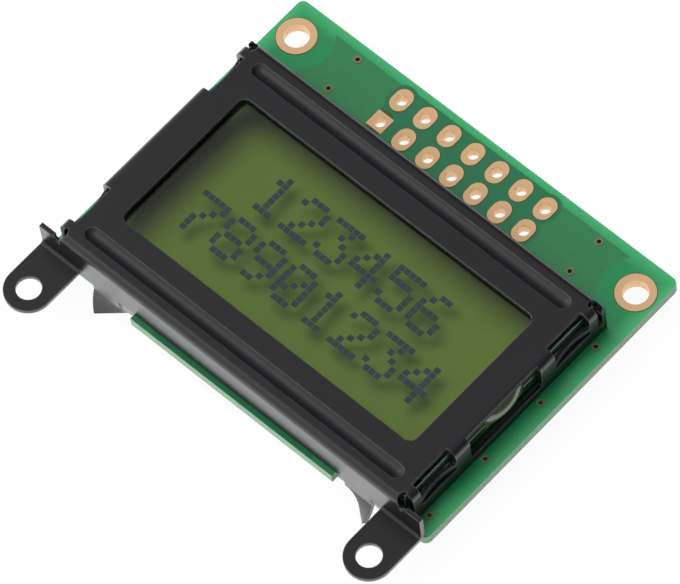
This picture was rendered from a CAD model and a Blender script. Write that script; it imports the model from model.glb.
"""Looks of a reflective character LCD module, laid out as a Blender add-on."""

import math

import bmesh
import bpy
from bpy.props import (
    FloatProperty,
    FloatVectorProperty,
    PointerProperty,
    StringProperty,
)
from mathutils import Matrix, Vector


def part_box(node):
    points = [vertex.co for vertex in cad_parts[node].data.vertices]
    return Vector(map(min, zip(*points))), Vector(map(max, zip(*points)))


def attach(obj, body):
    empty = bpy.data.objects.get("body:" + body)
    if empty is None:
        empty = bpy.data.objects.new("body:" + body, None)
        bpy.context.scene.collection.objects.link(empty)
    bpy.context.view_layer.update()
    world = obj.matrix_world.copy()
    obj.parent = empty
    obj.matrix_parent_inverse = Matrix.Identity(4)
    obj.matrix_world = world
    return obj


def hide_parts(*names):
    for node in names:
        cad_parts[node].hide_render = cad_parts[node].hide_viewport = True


bl_info = {
    "name": "Character LCD Module",
    "version": (1, 0, 0),
    "blender": (4, 5, 0),
    "location": "View3D > Sidebar > LCD Module",
    "description": "Dresses a character LCD module and sets its studio",
    "category": "Object",
}

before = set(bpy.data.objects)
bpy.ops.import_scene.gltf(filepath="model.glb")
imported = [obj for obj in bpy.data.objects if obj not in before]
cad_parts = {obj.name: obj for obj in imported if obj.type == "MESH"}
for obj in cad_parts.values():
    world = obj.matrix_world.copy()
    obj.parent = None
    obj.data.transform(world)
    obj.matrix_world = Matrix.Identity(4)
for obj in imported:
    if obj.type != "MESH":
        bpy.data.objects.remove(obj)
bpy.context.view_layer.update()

MM = 0.001
BODY = "root"

HEADER_COLUMNS = 7
HEADER_PADS = [f"header_pad_{i}" for i in range(1, 2 * HEADER_COLUMNS + 1)]
MOUNT_PLATINGS = ("left_mount_plating", "right_mount_plating")

# Gap round a plate that stands for a CAD node, and how far its edges are ground
PLATE_AIR = 0.005 * MM
GROUND_EDGE = 0.12 * MM
# Bare line round a pad, where the solder mask ends
MASK_GAP = 0.07 * MM
# How far light comes into the laminate at its outer edges
LIT_RIM = 1.4 * MM

# The Mix node's colour sockets: its two inputs and its result
MIX_FIRST, MIX_SECOND, MIX_RESULT = 6, 7, 2
# Most of a noise texture's values lie between these
NOISE_LOW, NOISE_HIGH = 0.3, 0.7

# Nearest and farthest that the camera sees, in metres
CAMERA_CLIP = (10 * MM, 20)
# Distance of the softboxes and half the width of the floor, in metres
LAMP_DISTANCE = 0.6
FLOOR_REACH = 3.0
# Strength of the floor's own white, and what shiny faces see on top of it
FLOOR_WHITE = 1.06
MIRRORED_LIFT = 1.0
WHITE = (1, 1, 1, 1)
# How the room's light changes: axis, start and end, then the strength at each
ROOM_FALLS = (("X", 1, -1, 0.16, 1.62), ("Y", 0.72, -0.4, 0.1, 0.95))

# Rows of dots that a character takes, with the empty one below it
CHARACTER_ROWS = 8
# The dots of each digit, from the top row down
DIGITS = {
    "0": (".###.", "#...#", "#..##", "#.#.#", "##..#", "#...#", ".###."),
    "1": ("..#..", ".##..", "..#..", "..#..", "..#..", "..#..", ".###."),
    "2": (".###.", "#...#", "....#", "...#.", "..#..", ".#...", "#####"),
    "3": ("#####", "...#.", "..#..", "...#.", "....#", "#...#", ".###."),
    "4": ("...#.", "..##.", ".#.#.", "#..#.", "#####", "...#.", "...#."),
    "5": ("#####", "#....", "####.", "....#", "....#", "#...#", ".###."),
    "6": ("..##.", ".#...", "#....", "####.", "#...#", "#...#", ".###."),
    "7": ("#####", "....#", "...#.", "..#..", ".#...", ".#...", ".#..."),
    "8": (".###.", "#...#", "#...#", ".###.", "#...#", "#...#", ".###."),
    "9": (".###.", "#...#", "#...#", ".####", "....#", "...#.", ".##.."),
}


# ---------------------------------------------------------------- settings


class BezelSettings(bpy.types.PropertyGroup):
    """Paint of the folded bezel."""

    colour: FloatVectorProperty(
        name="Paint", description="Colour of the black paint", subtype="COLOR",
        size=3, min=0, max=1, default=(0.0105, 0.0100, 0.0125),
    )
    roughness: FloatProperty(
        name="Roughness", description="Mean roughness of the paint",
        min=0, max=1, default=0.33,
    )
    edge_radius: FloatProperty(
        name="Edge radius", description="How far the sheet's cut edges look rounded",
        unit="LENGTH", subtype="DISTANCE", min=0, default=0.12 * MM,
    )
    edge_colour: FloatVectorProperty(
        name="Rubbed edges", description="Colour of the thin paint on the cut edges",
        subtype="COLOR", size=3, min=0, max=1, default=(0.19, 0.185, 0.20),
    )


class DisplaySettings(bpy.types.PropertyGroup):
    """Glass cell and its characters."""

    upper_text: StringProperty(
        name="Upper line", description="Digits and spaces in the upper line",
        default=" 123456 ",
    )
    lower_text: StringProperty(
        name="Lower line", description="Digits and spaces in the lower line",
        default="78901234",
    )
    character_pitch: FloatProperty(
        name="Character pitch", description="Distance between characters",
        unit="LENGTH", subtype="DISTANCE", default=3.25 * MM,
    )
    line_pitch: FloatProperty(
        name="Line pitch", description="Distance between the two lines",
        unit="LENGTH", subtype="DISTANCE", default=4.95 * MM,
    )
    dot_pitch: FloatVectorProperty(
        name="Dot pitch", description="Distance between dots, across and down",
        unit="LENGTH", subtype="XYZ", size=2, default=(0.57 * MM, 0.555 * MM),
    )
    dot_gap: FloatProperty(
        name="Dot gap", description="Clear line between two dots",
        unit="LENGTH", subtype="DISTANCE", default=0.05 * MM,
    )
    dot_colour: FloatVectorProperty(
        name="Dots", description="Colour of a dark dot", subtype="COLOR",
        size=3, min=0, max=1, default=(0.030, 0.052, 0.10),
    )
    reflector_colour: FloatVectorProperty(
        name="Reflector", description="Colour of the foil behind the cell",
        subtype="COLOR", size=3, min=0, max=1, default=(0.30, 0.455, 0.066),
    )
    border: FloatVectorProperty(
        name="Border", description="Width of the foil's dark border, sides and ends",
        unit="LENGTH", subtype="XYZ", size=2, default=(1.85 * MM, 0.85 * MM),
    )


class BoardSettings(bpy.types.PropertyGroup):
    """Circuit board and its copper."""

    margin_colour: FloatVectorProperty(
        name="Bare margin", description="Solder mask over bare laminate",
        subtype="COLOR", size=3, min=0, max=1, default=(0.012, 0.27, 0.088),
    )
    rim_colour: FloatVectorProperty(
        name="Lit rim", description="Light that the laminate lets in at its edges",
        subtype="COLOR", size=3, min=0, max=1, default=(0.055, 0.48, 0.165),
    )
    pour_colour: FloatVectorProperty(
        name="Copper pour", description="Solder mask over a copper pour",
        subtype="COLOR", size=3, min=0, max=1, default=(0.028, 0.225, 0.078),
    )
    header_colour: FloatVectorProperty(
        name="Header field", description="Solder mask between the header pads",
        subtype="COLOR", size=3, min=0, max=1, default=(0.014, 0.180, 0.072),
    )
    laminate_colour: FloatVectorProperty(
        name="Laminate", description="Cut edge of the glass-epoxy board",
        subtype="COLOR", size=3, min=0, max=1, default=(0.47, 0.67, 0.49),
    )
    copper_colour: FloatVectorProperty(
        name="Copper", description="Bare copper of the pads",
        subtype="COLOR", size=3, min=0, max=1, default=(0.86, 0.56, 0.30),
    )
    via_colour: FloatVectorProperty(
        name="Via copper", description="Copper of a via, half under the mask",
        subtype="COLOR", size=3, min=0, max=1, default=(0.24, 0.23, 0.12),
    )
    mount_clearance: FloatProperty(
        name="Mount clearance", description="Radius kept free of the pour at a hole",
        unit="LENGTH", subtype="DISTANCE", default=3.15 * MM,
    )
    pad_clearance: FloatProperty(
        name="Pad clearance", description="Gap between the pour and a header pad",
        unit="LENGTH", subtype="DISTANCE", default=0.35 * MM,
    )
    pour_inset: FloatVectorProperty(
        name="Pour inset", description="Distance of the pour from the sides and top",
        unit="LENGTH", subtype="XYZ", size=2, default=(4.25 * MM, 0.78 * MM),
    )


class StudioSettings(bpy.types.PropertyGroup):
    """Camera, lights and floor."""

    azimuth: FloatProperty(
        name="Azimuth", description="Turn of the camera round the module",
        subtype="ANGLE", default=math.radians(50.955),
    )
    elevation: FloatProperty(
        name="Elevation", description="Height of the camera above the floor",
        subtype="ANGLE", default=math.radians(61.083),
    )
    roll: FloatProperty(
        name="Roll", description="Tilt of the camera about its own view",
        subtype="ANGLE", default=math.radians(9.575),
    )
    distance: FloatProperty(
        name="Distance", description="From the camera to what it looks at",
        unit="LENGTH", subtype="DISTANCE", default=624.35 * MM,
    )
    focal_length: FloatProperty(
        name="Focal length", description="Focal length in millimetres",
        subtype="DISTANCE_CAMERA", default=423.8,
    )
    target: FloatVectorProperty(
        name="Target", description="Point that the camera looks at",
        unit="LENGTH", subtype="TRANSLATION", size=3,
        default=(0.568 * MM, -0.007 * MM, 3.4 * MM),
    )
    key_power: FloatProperty(
        name="Key light", description="Power of the key light in watts",
        subtype="POWER", min=0, default=0.4,
    )
    top_power: FloatProperty(
        name="Top light", description="Power of the broad top light in watts",
        subtype="POWER", min=0, default=1.45,
    )
    floor_glow: FloatProperty(
        name="Floor glow", description="Share of the floor that stays white in shade",
        subtype="FACTOR", min=0, max=1, default=0.88,
    )


# ---------------------------------------------------------------- places


def middle(box):
    """The middle of a box given by its lowest and highest corner."""
    return (box[0] + box[1]) / 2


def plate_box(node):
    """Box of the plate that stands for a CAD node, a hair inside the node's own."""
    air = Vector((1, 1, 1)) * PLATE_AIR
    low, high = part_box(node)
    return low + air, high - air


def header_corner_pads():
    """Boxes of pad 1 in the inner row and of the last pad in the outer row."""
    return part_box(HEADER_PADS[0]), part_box(HEADER_PADS[-1])


def header_pad_form():
    """Half the width of a header pad, and half the length of its straight sides."""
    first, last = header_corner_pads()
    half_width = (first[1] - first[0]).x / 2
    return half_width, (last[1] - last[0]).y / 2 - half_width


# ---------------------------------------------------------------- finishes


def shaded(colour, share):
    """A colour made darker or lighter by a share."""
    return tuple(min(1, share * part) for part in colour)


class Shading:
    """A tree of shader nodes that is put together step by step."""

    def __init__(self, owner, output_kind):
        owner.use_nodes = True
        self.owner = owner
        self.nodes = owner.node_tree.nodes
        self.links = owner.node_tree.links
        self.nodes.clear()
        self.output = self.nodes.new(output_kind)

    def feed(self, socket, value):
        """Links a socket to the input, or sets the input to a plain value."""
        if isinstance(value, bpy.types.NodeSocket):
            self.links.new(value, socket)
        else:
            socket.default_value = value

    def add(self, kind, inputs=None, **settings):
        """The outputs of a new node with these inputs and settings."""
        node = self.nodes.new(kind)
        for name, value in settings.items():
            setattr(node, name, value)
        for name, value in (inputs or {}).items():
            self.feed(node.inputs[name], value)
        return node.outputs

    def math(self, operation, *values):
        """The result of one sum."""
        inputs = dict(enumerate(values))
        return self.add("ShaderNodeMath", inputs, operation=operation)[0]

    def vector_math(self, operation, first, second=(0, 0, 0)):
        """The outputs of one sum with vectors."""
        inputs = {0: first, 1: second}
        return self.add("ShaderNodeVectorMath", inputs, operation=operation)

    def ramp(self, value, start, end, low=0.0, high=1.0):
        """A value that runs from low to high while another runs from start to end."""
        inputs = {"Value": value, "From Min": start, "From Max": end,
                  "To Min": low, "To Max": high}
        return self.add("ShaderNodeMapRange", inputs)[0]

    def mix(self, factor, first, second):
        """A shader between two shaders."""
        return self.add("ShaderNodeMixShader", {0: factor, 1: first, 2: second})[0]

    def done(self, shader):
        """Ends the tree with this shader and returns the tree's owner."""
        self.links.new(shader, self.output.inputs["Surface"])
        return self.owner


class Finish(Shading):
    """A material, with the patterns and shaders that the finishes share."""

    def __init__(self, name):
        super().__init__(bpy.data.materials.new(name), "ShaderNodeOutputMaterial")
        self.place = self.add("ShaderNodeTexCoord")["Object"]

    def blend(self, factor, first, second, blend_type="MIX"):
        """A colour made from two colours."""
        inputs = {0: factor}
        for socket, colour in ((MIX_FIRST, first), (MIX_SECOND, second)):
            linked = isinstance(colour, bpy.types.NodeSocket)
            inputs[socket] = colour if linked else (*colour, 1)
        settings = {"data_type": "RGBA", "blend_type": blend_type}
        return self.add("ShaderNodeMix", inputs, **settings)[MIX_RESULT]

    def mottled(self, pattern, colour, share):
        """A colour that a pattern darkens, down to this share of it."""
        return self.blend(pattern, shaded(colour, share), colour)

    def noise(self, grain, detail=2.0, stretch=(1, 1, 1)):
        """Noise from 0 to 1 whose grains are about this many metres wide."""
        vector = self.vector_math("MULTIPLY", self.place, stretch)[0]
        inputs = {"Vector": vector, "Scale": 1 / grain, "Detail": detail}
        return self.add("ShaderNodeTexNoise", inputs)[0]

    def spread(self, noise, low, high):
        """Noise moved to a range from low to high."""
        return self.ramp(noise, NOISE_LOW, NOISE_HIGH, low, high)

    def bump(self, height, distance, strength=1.0, **inputs):
        """A normal pushed about by a height."""
        inputs.update(Height=height, Distance=distance, Strength=strength)
        return self.add("ShaderNodeBump", inputs)[0]

    def plain_normal(self):
        """The surface's own normal, without any bump."""
        return self.add("ShaderNodeNewGeometry")["Normal"]

    def axes(self):
        """The three coordinates of the point in the module's frame."""
        return self.add("ShaderNodeSeparateXYZ", {0: self.place})

    def between(self, value, low, high):
        """1 where the value lies between two limits."""
        return self.math(
            "MULTIPLY",
            self.math("GREATER_THAN", value, low),
            self.math("LESS_THAN", value, high),
        )

    def inside(self, corner, opposite):
        """1 inside an upright box given by two opposite corners in X and Y."""
        x, y, _ = self.axes()
        return self.math(
            "MULTIPLY",
            self.between(x, corner[0], opposite[0]),
            self.between(y, corner[1], opposite[1]),
        )

    def from_pad(self, centre, straight=0.0, pitch=None, columns=1):
        """Distance from a pad's middle line, or from the nearest pad of a row."""
        x, y, _ = self.axes()
        across = self.math("SUBTRACT", x, centre[0])
        if pitch is not None:
            column = self.math("ROUND", self.math("DIVIDE", across, pitch))
            column = self.math("MINIMUM", column, columns - 1)
            column = self.math("MAXIMUM", column, 0)
            across = self.math("SUBTRACT", across, self.math("MULTIPLY", column, pitch))
        along = self.math("ABSOLUTE", self.math("SUBTRACT", y, centre[1]))
        along = self.math("MAXIMUM", self.math("SUBTRACT", along, straight), 0)
        offset = self.add("ShaderNodeCombineXYZ", {0: across, 1: along})[0]
        return self.vector_math("LENGTH", offset)["Value"]

    def surface(self, **inputs):
        """A Principled shader with these inputs."""
        named = {name.replace("_", " "): value for name, value in inputs.items()}
        return self.add("ShaderNodeBsdfPrincipled", named)[0]


def bezel_finish(settings):
    """Semi-gloss black paint with a fine orange peel, thin on the cut edges."""
    paint = Finish("bezel_paint")
    colour = paint.mottled(paint.noise(4 * MM), settings.colour, 0.75)
    mean, change = settings.roughness, 0.02
    rough = paint.spread(paint.noise(1.2 * MM, 4), mean - change, mean + change)

    # A cut edge is where the rounded normal turns away from the plain one
    radius = {"Radius": settings.edge_radius}
    rounded = paint.add("ShaderNodeBevel", radius, samples=6)[0]
    alike = paint.vector_math("DOT_PRODUCT", rounded, paint.plain_normal())["Value"]
    rubbed = paint.ramp(alike, 0.995, 0.88)
    patchy = paint.spread(paint.noise(0.9 * MM), 0.4, 1)
    above_tabs = paint.math(
        "GREATER_THAN", paint.axes()["Z"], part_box("circuit_board")[0].z
    )
    for share in (patchy, above_tabs):
        rubbed = paint.math("MULTIPLY", rubbed, share)
    colour = paint.blend(rubbed, colour, settings.edge_colour)

    peel = paint.bump(paint.noise(0.22 * MM), 0.004 * MM, 0.5, Normal=rounded)
    return paint.done(
        paint.surface(Base_Color=colour, Roughness=rough, Normal=peel, IOR=1.5)
    )


def clear_finish(name, node, tint, shine):
    """A clear plate: see-through flat faces and tinted, satin ground edges."""
    clear = Finish(name)
    haze = clear.noise(3 * MM)
    through = {"Color": clear.mottled(haze, tint, 0.985)}
    face = clear.mix(
        shine,
        clear.add("ShaderNodeBsdfTransparent", through)[0],
        clear.add("ShaderNodeBsdfGlossy", {"Roughness": 0.06})[0],
    )
    edge = clear.surface(
        Base_Color=clear.blend(haze, (0.02, 0.05, 0.025), (0.04, 0.09, 0.05)),
        Roughness=0.25,
    )
    low, high = (corner.z for corner in plate_box(node))
    skin = 0.02 * (high - low)
    on_edge = clear.between(clear.axes()["Z"], low + skin, high - skin)
    return clear.done(clear.mix(on_edge, face, edge))


def reflector_finish(name, settings):
    """Satin yellow-green of the foil and its film, with a dark border."""
    foil = Finish(name)
    grain = foil.noise(0.25 * MM, 3)
    cloud = foil.noise(6 * MM)
    colour = settings.reflector_colour
    pattern = foil.math("MULTIPLY", foil.math("ADD", grain, cloud), 0.5)
    base = foil.blend(pattern, shaded(colour, 0.88), shaded(colour, 1.08))
    low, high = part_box("reflector")
    inset = Vector((*settings.border, 0))
    seen = foil.inside(low + inset, high - inset)
    base = foil.blend(seen, (0.010, 0.014, 0.006), base)
    fine = foil.bump(grain, 0.004 * MM, 0.3)
    return foil.done(foil.surface(Base_Color=base, Roughness=0.6, Normal=fine))


def dot_finish(settings):
    """Blue-black of a driven dot."""
    ink = Finish("dark_dot")
    base = ink.mottled(ink.noise(0.6 * MM), settings.dot_colour, 0.85)
    return ink.done(ink.surface(Base_Color=base, Roughness=0.5, IOR=1.2))


def plug_finish():
    """Cured translucent resin with a wet shine."""
    resin = Finish("plug_resin")
    cloud = resin.noise(0.8 * MM, 3)
    base = resin.blend(cloud, (0.09, 0.12, 0.055), (0.16, 0.19, 0.10))
    rough = resin.spread(cloud, 0.14, 0.22)
    return resin.done(
        resin.surface(Base_Color=base, Roughness=rough,
                      Coat_Weight=0.4, Coat_Roughness=0.1)
    )


def elastomer_finish():
    """Silicone strip with a thin dark core line along each side."""
    strip = Finish("elastomer")
    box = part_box("upper_connector")
    half_core = 0.12 * (box[1] - box[0]).z
    centre = middle(box).z
    core = strip.between(strip.axes()["Z"], centre - half_core, centre + half_core)
    cloud = strip.noise(0.5 * MM, 3)
    base = strip.blend(cloud, (0.50, 0.43, 0.40), (0.60, 0.53, 0.49))
    base = strip.blend(core, base, (0.05, 0.05, 0.05))
    rough = strip.spread(cloud, 0.55, 0.7)
    return strip.done(strip.surface(Base_Color=base, Roughness=rough))


def header_field(mask, settings):
    """1 in the field from the side of pad 1 to the far side of the last column."""
    first, last = header_corner_pads()
    half_width, straight = header_pad_form()
    top = last[1].y + settings.pad_clearance / 2
    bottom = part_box("circuit_board")[0].y
    field = mask.inside((first[0].x, bottom), (last[1].x, top))
    corner_pads = (
        (first[0].x + half_width, middle(last).y),
        (middle(last).x, middle(last).y),
        (middle(last).x, middle(first).y),
    )
    reach = half_width + settings.pad_clearance
    for centre in corner_pads:
        ring = mask.math("LESS_THAN", mask.from_pad(centre, straight), reach)
        field = mask.math("MAXIMUM", field, ring)
    return field


def copper_pour(mask, settings):
    """1 over the copper pour, which keeps clear of the mounting holes."""
    low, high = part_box("circuit_board")
    side, end = settings.pour_inset
    pour = mask.inside((low.x + side, low.y), (high.x - side, high.y - end))
    for plating in MOUNT_PLATINGS:
        away = mask.from_pad(middle(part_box(plating)))
        free = mask.math("GREATER_THAN", away, settings.mount_clearance)
        pour = mask.math("MULTIPLY", pour, free)
    return pour


def mask_openings(mask):
    """1 in the mask's openings, a little wider than the pads and mount rings."""
    first, last = header_corner_pads()
    half_width, straight = header_pad_form()
    pitch = (middle(last).x - middle(first).x) / (HEADER_COLUMNS - 1)
    shapes = []
    for row in (first, last):
        start = (middle(first).x, middle(row).y)
        away = mask.from_pad(start, straight, pitch, HEADER_COLUMNS)
        shapes.append((away, half_width))
    for plating in MOUNT_PLATINGS:
        low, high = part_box(plating)
        shapes.append((mask.from_pad(middle((low, high))), (high - low).x / 2))
    opened = 0
    for away, radius in shapes:
        near = mask.math("LESS_THAN", away, radius + MASK_GAP)
        opened = mask.math("MAXIMUM", near, opened)
    return opened


def lit_rim(mask):
    """Up to 1 along the outer edges, where light comes into the laminate."""
    low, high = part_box("circuit_board")
    centre, half = middle((low, high)), (high - low) / 2
    to_edges = []
    for axis, place in enumerate(mask.axes()[:2]):
        away = mask.math("ABSOLUTE", mask.math("SUBTRACT", place, centre[axis]))
        to_edges.append(mask.math("SUBTRACT", half[axis], away))
    return mask.ramp(mask.math("MINIMUM", *to_edges), LIT_RIM, 0)


def board_finish(settings):
    """Green solder mask over laminate and copper, with a bare laminate edge."""
    mask = Finish("board_mask")
    pour = copper_pour(mask, settings)
    field = header_field(mask, settings)
    colour = mask.blend(lit_rim(mask), settings.margin_colour, settings.rim_colour)
    colour = mask.blend(pour, colour, settings.pour_colour)
    colour = mask.blend(field, colour, settings.header_colour)
    colour = mask.blend(mask_openings(mask), colour, (0.05, 0.09, 0.03))
    weave = mask.noise(0.35 * MM, 3)
    shade = mask.blend(weave, (0.90, 0.90, 0.90), (1.06, 1.06, 1.06))
    colour = mask.blend(1.0, colour, shade, "MULTIPLY")

    # The cut edge shows the layers of the laminate
    skin = 0.04 * MM
    low, high = (corner.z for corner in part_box("circuit_board"))
    cut = mask.between(mask.axes()["Z"], low + skin, high - skin)
    layers = mask.noise(0.5 * MM, 3, stretch=(1, 1, 8))
    edge = mask.mottled(layers, settings.laminate_colour, 0.55)
    base = mask.blend(cut, colour, edge)
    mask_rough, cut_rough = 0.28, 0.68
    rough = mask.ramp(cut, 0, 1, mask_rough, cut_rough)
    step = mask.bump(mask.math("MAXIMUM", pour, field), 0.02 * MM, 0.6)
    return mask.done(
        mask.surface(Base_Color=base, Roughness=rough, Normal=step, IOR=1.5)
    )


def copper_finish(colour):
    """Satin copper with a slight mottle."""
    copper = Finish("copper_plating")
    mottle = copper.noise(0.35 * MM, 4)
    return copper.done(
        copper.surface(
            Base_Color=copper.mottled(mottle, colour, 0.86),
            Metallic=0.45,
            Roughness=copper.spread(mottle, 0.42, 0.58),
            Normal=copper.bump(mottle, 0.006 * MM, 0.4),
        )
    )


def via_finish(colour):
    """Copper half under the mask, dark down the hole."""
    via = Finish("via_copper")
    mottle = via.noise(0.2 * MM, 3)
    up = via.add("ShaderNodeSeparateXYZ", {0: via.plain_normal()})["Z"]
    flat = via.math("GREATER_THAN", via.math("ABSOLUTE", up), 0.5)
    ring = via.mottled(mottle, colour, 0.8)
    base = via.blend(flat, (0.004, 0.004, 0.003), ring)
    rough = via.spread(mottle, 0.4, 0.55)
    return via.done(via.surface(Base_Color=base, Roughness=rough, IOR=1.15))


def resin_finish():
    """Black resin with a slow ripple."""
    resin = Finish("driver_resin")
    fine = resin.noise(0.2 * MM)
    return resin.done(
        resin.surface(
            Base_Color=resin.blend(fine, (0.008, 0.008, 0.009), (0.020, 0.020, 0.020)),
            Roughness=resin.spread(fine, 0.38, 0.5),
            Normal=resin.bump(resin.noise(2.5 * MM), 0.08 * MM, 0.6),
        )
    )


def ceramic_finish():
    """Glazed black body of a chip resistor."""
    glaze = Finish("resistor_body")
    fine = glaze.noise(0.15 * MM, 3)
    base = glaze.blend(fine, (0.010, 0.010, 0.012), (0.026, 0.026, 0.030))
    rough = glaze.spread(fine, 0.2, 0.35)
    return glaze.done(glaze.surface(Base_Color=base, Roughness=rough))


def solder_finish():
    """Bright solder with soft ripples."""
    solder = Finish("solder")
    ripple = solder.noise(0.4 * MM)
    return solder.done(
        solder.surface(
            Base_Color=solder.blend(ripple, (0.55, 0.55, 0.56), (0.72, 0.72, 0.73)),
            Metallic=1.0,
            Roughness=solder.spread(ripple, 0.22, 0.4),
            Normal=solder.bump(ripple, 0.02 * MM, 0.5),
        )
    )


# ---------------------------------------------------------------- pieces


def dress(names, material):
    """Gives CAD nodes their finish."""
    for name in names:
        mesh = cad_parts[name].data
        mesh.materials.clear()
        mesh.materials.append(material)


def nodes_named(*starts):
    """The CAD nodes whose names begin with one of these words, in order."""
    return sorted(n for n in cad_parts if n.startswith(starts))


def piece_from(name, bm, material):
    """A new object in the scene with this mesh and material."""
    mesh = bpy.data.meshes.new(name)
    bm.to_mesh(mesh)
    bm.free()
    mesh.materials.append(material)
    piece = bpy.data.objects.new(name, mesh)
    bpy.context.scene.collection.objects.link(piece)
    return piece


def block_into(bm, low, high):
    """Adds an upright block to a mesh."""
    made = bmesh.ops.create_cube(bm, size=1)["verts"]
    bmesh.ops.scale(bm, vec=high - low, verts=made)
    bmesh.ops.translate(bm, vec=middle((low, high)), verts=made)


def plate(name, node, material):
    """A plate in a CAD node's place, with its edges ground off."""
    low, high = plate_box(node)
    # A thin film loses no more than a fifth of its thickness
    grind = min(GROUND_EDGE, (high.z - low.z) / 5)
    bm = bmesh.new()
    block_into(bm, low, high)
    bmesh.ops.bevel(bm, geom=bm.edges[:], offset=grind, segments=2, profile=0.5,
                    affect="EDGES")
    piece = piece_from(name, bm, material)
    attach(piece, BODY)
    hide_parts(node)
    return piece


def drop_mesh(low, high, steps=24):
    """A drop that hangs on a wall at its low X side and bulges towards high X."""
    bm = bmesh.new()
    weld = 0.0001 * MM
    shares = [-math.cos(math.pi * i / steps) for i in range(steps + 1)]
    centre, half = middle((low, high)), (high - low) / 2
    for depth in (0.0, (high - low).x):
        rows = [
            [
                bm.verts.new((
                    low.x + depth * (1 - u * u) * (1 - v * v),
                    centre.y + half.y * u,
                    centre.z + half.z * v,
                ))
                for v in shares
            ]
            for u in shares
        ]
        for row, following in zip(rows, rows[1:]):
            for i in range(steps):
                bm.faces.new((row[i], following[i], following[i + 1], row[i + 1]))
    bmesh.ops.remove_doubles(bm, verts=bm.verts, dist=weld)
    bmesh.ops.recalc_face_normals(bm, faces=bm.faces)
    for face in bm.faces:
        face.smooth = True
    return bm


def dark_dots(settings):
    """Middles of the dark dots, from the middle of the display."""
    across, down = settings.dot_pitch
    lines = (settings.upper_text, settings.lower_text)
    height = (len(lines) - 1) * settings.line_pitch + CHARACTER_ROWS * down
    for line, text in enumerate(lines):
        top = height / 2 - line * settings.line_pitch
        for place, letter in enumerate(text):
            centre = (place - (len(text) - 1) / 2) * settings.character_pitch
            for row, dots in enumerate(DIGITS.get(letter, ())):
                for column, dot in enumerate(dots):
                    if dot == "#":
                        x = centre + (column - (len(dots) - 1) / 2) * across
                        yield x, top - (row + 0.5) * down


# ---------------------------------------------------------------- operators


class CHARLCD_OT_paint_bezel(bpy.types.Operator):
    """Paints the folded bezel"""

    bl_idname = "charlcd.paint_bezel"
    bl_label = "Paint Bezel"

    def execute(self, context):
        dress(["bezel"], bezel_finish(context.scene.charlcd_bezel))
        return {"FINISHED"}


class CHARLCD_OT_fit_cell(bpy.types.Operator):
    """Fits both glass plates, their polarizers and the reflector"""

    bl_idname = "charlcd.fit_cell"
    bl_label = "Fit Glass Cell"

    def execute(self, context):
        display = context.scene.charlcd_display
        film_tint, glass_tint = (0.94, 0.965, 0.88), (0.97, 0.985, 0.965)
        film = clear_finish("polarizer_film", "front_polarizer", film_tint, 0.04)
        clear_plates = [plate("front_film", "front_polarizer", film)]
        for side in ("front", "rear"):
            node = f"{side}_glass"
            glass = clear_finish(f"{side}_cell_glass", node, glass_tint, 0.0)
            clear_plates.append(plate(f"{side}_pane", node, glass))
        # The lamps reach what lies behind the clear plates
        for piece in clear_plates:
            piece.visible_shadow = False
        backed = reflector_finish("backed_polarizer", display)
        plate("rear_film", "rear_polarizer", backed)
        foil = reflector_finish("reflector_foil", display)
        plate("reflector_sheet", "reflector", foil)
        return {"FINISHED"}


class CHARLCD_OT_write_characters(bpy.types.Operator):
    """Writes two lines of digits as dark dots between the glass plates"""

    bl_idname = "charlcd.write_characters"
    bl_label = "Write Characters"

    def execute(self, context):
        settings = context.scene.charlcd_display
        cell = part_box("rear_glass")
        centre = middle(cell)
        centre.z = cell[1].z
        half_height = 0.002 * MM
        across, down = ((pitch - settings.dot_gap) / 2 for pitch in settings.dot_pitch)
        half = Vector((across, down, half_height))
        bm = bmesh.new()
        for x, y in dark_dots(settings):
            at = centre + Vector((x, y, 0))
            block_into(bm, at - half, at + half)
        if not bm.verts:
            raise RuntimeError("both lines of text are empty")
        dots = piece_from("character_dots", bm, dot_finish(settings))
        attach(dots, BODY)
        return {"FINISHED"}


class CHARLCD_OT_set_plug(bpy.types.Operator):
    """Sets a smooth drop of resin over the cell's fill port"""

    bl_idname = "charlcd.set_plug"
    bl_label = "Set Fill Plug"

    def execute(self, context):
        low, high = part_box("fill_plug")
        drop = piece_from("resin_plug", drop_mesh(low, high), plug_finish())
        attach(drop, BODY)
        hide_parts("fill_plug")
        return {"FINISHED"}


class CHARLCD_OT_finish_connectors(bpy.types.Operator):
    """Gives both elastomer connectors their finish"""

    bl_idname = "charlcd.finish_connectors"
    bl_label = "Finish Connectors"

    def execute(self, context):
        dress(["upper_connector", "lower_connector"], elastomer_finish())
        return {"FINISHED"}


class CHARLCD_OT_coat_board(bpy.types.Operator):
    """Coats the circuit board with solder mask"""

    bl_idname = "charlcd.coat_board"
    bl_label = "Coat Board"

    def execute(self, context):
        dress(["circuit_board"], board_finish(context.scene.charlcd_board))
        return {"FINISHED"}


class CHARLCD_OT_plate_copper(bpy.types.Operator):
    """Plates the holes, vias and contacts with copper"""

    bl_idname = "charlcd.plate_copper"
    bl_label = "Plate Copper"

    def execute(self, context):
        settings = context.scene.charlcd_board
        bare = nodes_named(
            *MOUNT_PLATINGS, "header_pad_", "upper_contacts", "lower_contacts"
        )
        dress(bare, copper_finish(settings.copper_colour))
        dress(["via_plating"], via_finish(settings.via_colour))
        return {"FINISHED"}


class CHARLCD_OT_dress_underside(bpy.types.Operator):
    """Gives the driver resin and the chip resistors their finishes"""

    bl_idname = "charlcd.dress_underside"
    bl_label = "Dress Underside"

    def execute(self, context):
        ends = nodes_named("resistor_ends_")
        bodies = [n for n in nodes_named("resistor_") if n not in ends]
        dress(["driver_resin"], resin_finish())
        dress(bodies, ceramic_finish())
        dress(ends, solder_finish())
        return {"FINISHED"}


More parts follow.
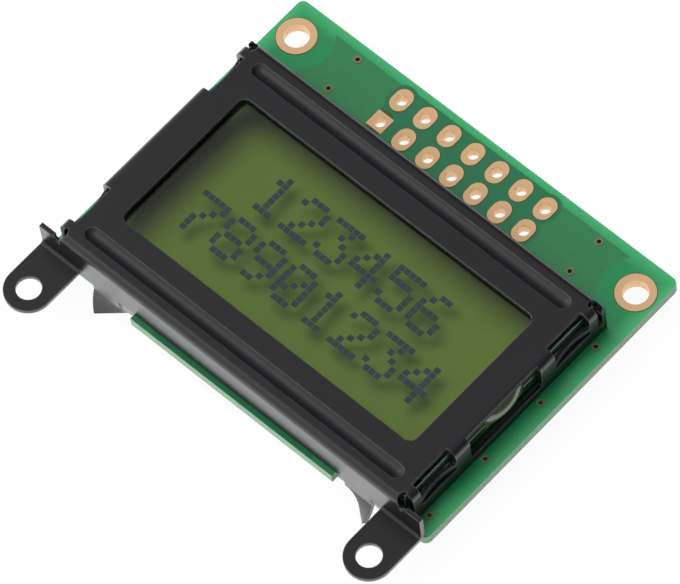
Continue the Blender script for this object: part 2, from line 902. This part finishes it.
def direction(azimuth, elevation):
    """Unit vector towards a place round the module, angles in radians."""
    flat = math.cos(elevation)
    return Vector((
        math.sin(azimuth) * flat, -math.cos(azimuth) * flat, math.sin(elevation)
    ))


def set_camera(settings):
    """A long lens that looks down at the module from its lower right."""
    camera = bpy.data.objects.new("camera", bpy.data.cameras.new("camera"))
    bpy.context.scene.collection.objects.link(camera)
    camera.data.lens = settings.focal_length
    camera.data.clip_start, camera.data.clip_end = CAMERA_CLIP
    back = direction(settings.azimuth, settings.elevation)
    right = Vector((math.cos(settings.azimuth), math.sin(settings.azimuth), 0))
    up = back.cross(right)
    roll = settings.roll
    across = right * math.cos(roll) - up * math.sin(roll)
    upward = right * math.sin(roll) + up * math.cos(roll)
    turn = Matrix((across, upward, back)).transposed()
    place = Vector(settings.target) + back * settings.distance
    camera.matrix_world = Matrix.Translation(place) @ turn.to_4x4()
    bpy.context.scene.camera = camera


def set_softbox(name, azimuth, elevation, size, power, mirrored=True):
    """A square softbox that faces the module, angles in degrees."""
    light = bpy.data.lights.new(name, "AREA")
    light.shape = "SQUARE"
    light.size = size
    light.energy = power
    box = bpy.data.objects.new(name, light)
    box.visible_glossy = mirrored
    bpy.context.scene.collection.objects.link(box)
    towards = direction(math.radians(azimuth), math.radians(elevation))
    box.location = towards * LAMP_DISTANCE
    box.rotation_mode = "QUATERNION"
    box.rotation_quaternion = towards.to_track_quat("Z", "Y")


def set_floor(settings):
    """A pale floor that is white to the camera and keeps a soft shadow."""
    pale = Finish("floor_pale")
    paper = pale.blend(pale.noise(0.3), (0.84, 0.84, 0.84), (0.86, 0.86, 0.86))
    matte = pale.add("ShaderNodeBsdfDiffuse", {"Color": paper})[0]
    ray = pale.add("ShaderNodeLightPath")
    lift = pale.math("MULTIPLY_ADD", ray["Is Glossy Ray"], MIRRORED_LIFT, FLOOR_WHITE)
    white = pale.add("ShaderNodeEmission", {"Color": WHITE, "Strength": lift})[0]
    seen = pale.math("MAXIMUM", ray["Is Camera Ray"], ray["Is Glossy Ray"])
    seen = pale.math("MAXIMUM", seen, ray["Is Transmission Ray"])
    share = pale.math("MULTIPLY", seen, settings.floor_glow)
    bm = bmesh.new()
    bm.faces.new([
        bm.verts.new((sx * FLOOR_REACH, sy * FLOOR_REACH, 0))
        for sx, sy in ((-1, -1), (1, -1), (1, 1), (-1, 1))
    ])
    floor = piece_from("floor", bm, pale.done(pale.mix(share, matte, white)))


def set_world():
    """White to the camera; to the rest a light tent that is brighter left and front."""
    world = bpy.data.worlds.new("studio")
    bpy.context.scene.world = world
    tent = Shading(world, "ShaderNodeOutputWorld")
    side = tent.add("ShaderNodeTexCoord")["Generated"]
    axes = tent.add("ShaderNodeSeparateXYZ", {0: side})
    falls = [tent.ramp(axes[axis], *fall) for axis, *fall in ROOM_FALLS]
    glow = tent.math("MULTIPLY", *falls)
    room = tent.add("ShaderNodeBackground", {"Color": WHITE, "Strength": glow})[0]
    plain = tent.add("ShaderNodeBackground", {"Color": WHITE})[0]
    to_camera = tent.add("ShaderNodeLightPath")["Is Camera Ray"]
    tent.done(tent.mix(to_camera, room, plain))


class CHARLCD_OT_set_stage(bpy.types.Operator):
    """Sets the floor, the studio light and the camera"""

    bl_idname = "charlcd.set_stage"
    bl_label = "Set Stage"

    def execute(self, context):
        settings = context.scene.charlcd_studio
        set_floor(settings)
        set_world()
        set_softbox("key_light", azimuth=-76, elevation=52, size=0.3,
                    power=settings.key_power)
        set_softbox("top_light", azimuth=-117, elevation=65, size=0.5,
                    power=settings.top_power, mirrored=False)
        set_camera(settings)
        context.scene.view_settings.view_transform = "Standard"
        return {"FINISHED"}


# ---------------------------------------------------------------- add-on

OPERATORS = (
    CHARLCD_OT_paint_bezel,
    CHARLCD_OT_fit_cell,
    CHARLCD_OT_write_characters,
    CHARLCD_OT_set_plug,
    CHARLCD_OT_finish_connectors,
    CHARLCD_OT_coat_board,
    CHARLCD_OT_plate_copper,
    CHARLCD_OT_dress_underside,
    CHARLCD_OT_set_stage,
)
SETTINGS = {
    "charlcd_bezel": BezelSettings,
    "charlcd_display": DisplaySettings,
    "charlcd_board": BoardSettings,
    "charlcd_studio": StudioSettings,
}


class CHARLCD_PT_panel(bpy.types.Panel):
    """Lists the module's pieces and its stage"""

    bl_label = "Character LCD Module"
    bl_idname = "CHARLCD_PT_panel"
    bl_space_type = "VIEW_3D"
    bl_region_type = "UI"
    bl_category = "LCD Module"

    def draw(self, context):
        for operator in OPERATORS:
            self.layout.operator(operator.bl_idname)
        for name, group in SETTINGS.items():
            box = self.layout.box()
            box.label(text=group.__doc__)
            for prop in group.__annotations__:
                box.prop(getattr(context.scene, name), prop)


def register():
    for item in (*SETTINGS.values(), *OPERATORS, CHARLCD_PT_panel):
        bpy.utils.register_class(item)
    for name, group in SETTINGS.items():
        setattr(bpy.types.Scene, name, PointerProperty(type=group))


def unregister():
    for name in SETTINGS:
        delattr(bpy.types.Scene, name)
    for item in (CHARLCD_PT_panel, *reversed(OPERATORS), *SETTINGS.values()):
        bpy.utils.unregister_class(item)


def main():
    """Registers the add-on, makes every piece in order and writes both boxes."""
    register()
    for operator in OPERATORS:
        group, name = operator.bl_idname.split(".")
        getattr(getattr(bpy.ops, group), name)()


if __name__ == "__main__":
    main()
